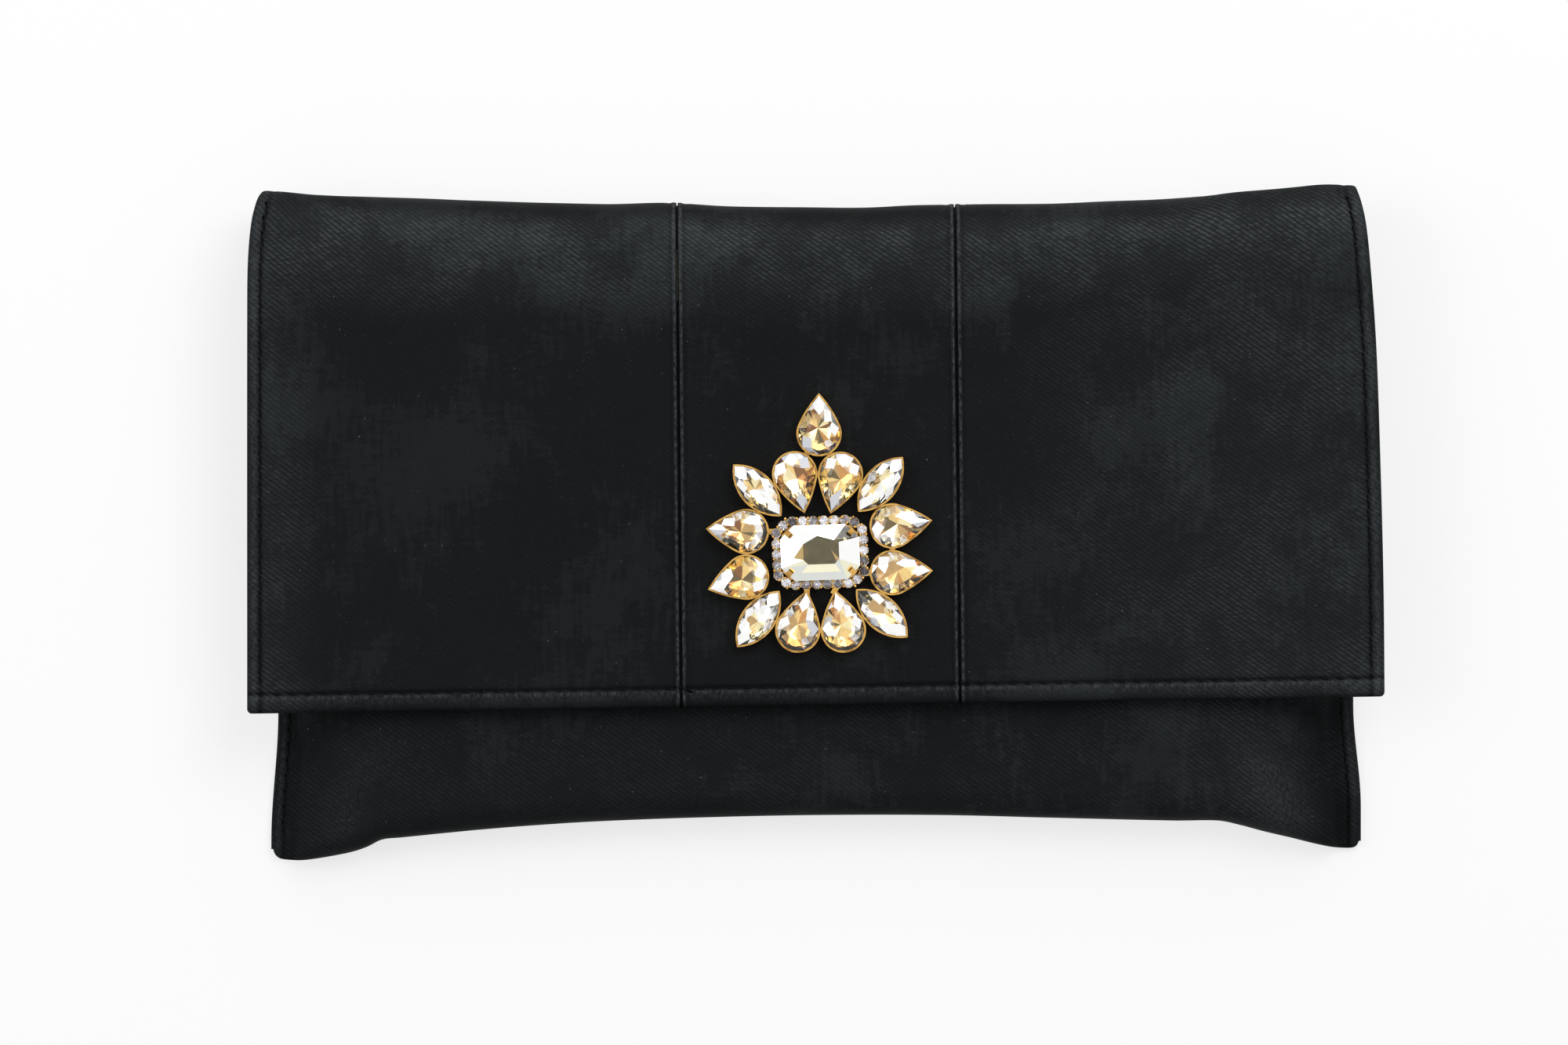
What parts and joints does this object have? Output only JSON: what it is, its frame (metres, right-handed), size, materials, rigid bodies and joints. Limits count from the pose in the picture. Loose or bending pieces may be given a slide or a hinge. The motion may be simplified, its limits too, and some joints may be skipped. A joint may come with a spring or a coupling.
{
  "type": "clutch purse",
  "caption": "Black satin evening clutch with a stiff fold-over flap, magnetic snap and a foil-backed crystal brooch.",
  "frame": {"origin": "middle of the purse's outline, on the surface that its back rests on", "axes": "+X along the fold, +Y from the base to the fold, +Z from the back to the front flap"},
  "size_m": [0.2664, 0.153, 0.0258],
  "materials": {
    "satin": "black duchesse satin, twill back showing as a fine diagonal rib, soft sheen",
    "lining": "plain black satin lining",
    "interlining": "stiff woven interlining",
    "board": "pressed grey board",
    "magnet": "nickel-plated magnet",
    "snap_metal": "gold-tone plated sheet metal",
    "gold_metal": "polished gold-tone plating",
    "halo_metal": "pale gold and rhodium plating",
    "champagne_stone": "foil-backed champagne crystal, faceted",
    "clear_stone": "foil-backed clear crystal, step cut",
    "halo_stone": "foil-backed clear and smoky crystal"
  },
  "bodies": {
    "pouch": {"left_side_seam": "satin", "mouth_hem": "satin", "pouch_back_board": "board", "pouch_front_board": "board", "pouch_lining": "lining", "pouch_satin": "satin", "right_side_seam": "satin", "slip_pocket": "lining", "snap_magnet": "magnet", "snap_socket": "snap_metal", "snap_socket_base": "snap_metal", "snap_socket_washer": "snap_metal"},
    "spine": {"spine_centre_panel": "satin", "spine_interlining": "interlining", "spine_left_panel": "satin", "spine_lining": "lining", "spine_right_panel": "satin"},
    "flap": {"brooch_posts": "gold_metal", "brooch_retainers": "snap_metal", "centre_setting": "gold_metal", "centre_stone": "clear_stone", "flap_board": "board", "flap_centre_panel": "satin", "flap_hem": "satin", "flap_left_panel": "satin", "flap_lining": "lining", "flap_right_panel": "satin", "halo_crystals": "halo_stone", "halo_setting": "halo_metal", "navette_cup_lower_left": "gold_metal", "navette_cup_lower_right": "gold_metal", "navette_cup_upper_left": "gold_metal", "navette_cup_upper_right": "gold_metal", "navette_stone_lower_left": "champagne_stone", "navette_stone_lower_right": "champagne_stone", "navette_stone_upper_left": "champagne_stone", "navette_stone_upper_right": "champagne_stone", "pear_cup_bottom_left": "gold_metal", "pear_cup_bottom_right": "gold_metal", "pear_cup_left_lower": "gold_metal", "pear_cup_left_upper": "gold_metal", "pear_cup_right_lower": "gold_metal", "pear_cup_right_upper": "gold_metal", "pear_cup_top": "gold_metal", "pear_cup_upper_left": "gold_metal", "pear_cup_upper_right": "gold_metal", "pear_stone_bottom_left": "champagne_stone", "pear_stone_bottom_right": "champagne_stone", "pear_stone_left_lower": "champagne_stone", "pear_stone_left_upper": "champagne_stone", "pear_stone_right_lower": "champagne_stone", "pear_stone_right_upper": "champagne_stone", "pear_stone_top": "champagne_stone", "pear_stone_upper_left": "champagne_stone", "pear_stone_upper_right": "champagne_stone", "snap_stud": "snap_metal", "snap_stud_washer": "snap_metal", "solder_bridges": "gold_metal"}
  },
  "joints": [
    {"name": "spine_fold", "type": "hinge", "parent": "pouch", "child": "spine", "pos_m": [0, 0.07328, 0.00322], "axis": [-1, 0, 0], "range_deg": [0, 85]},
    {"name": "flap_fold", "type": "hinge", "parent": "spine", "child": "flap", "pos_m": [0, 0.07328, 0.01878], "axis": [-1, 0, 0], "range_deg": [0, 85]}
  ],
  "couplings": [
    {"joint": "flap_fold", "follows": "spine_fold", "ratio": 1}
  ]
}
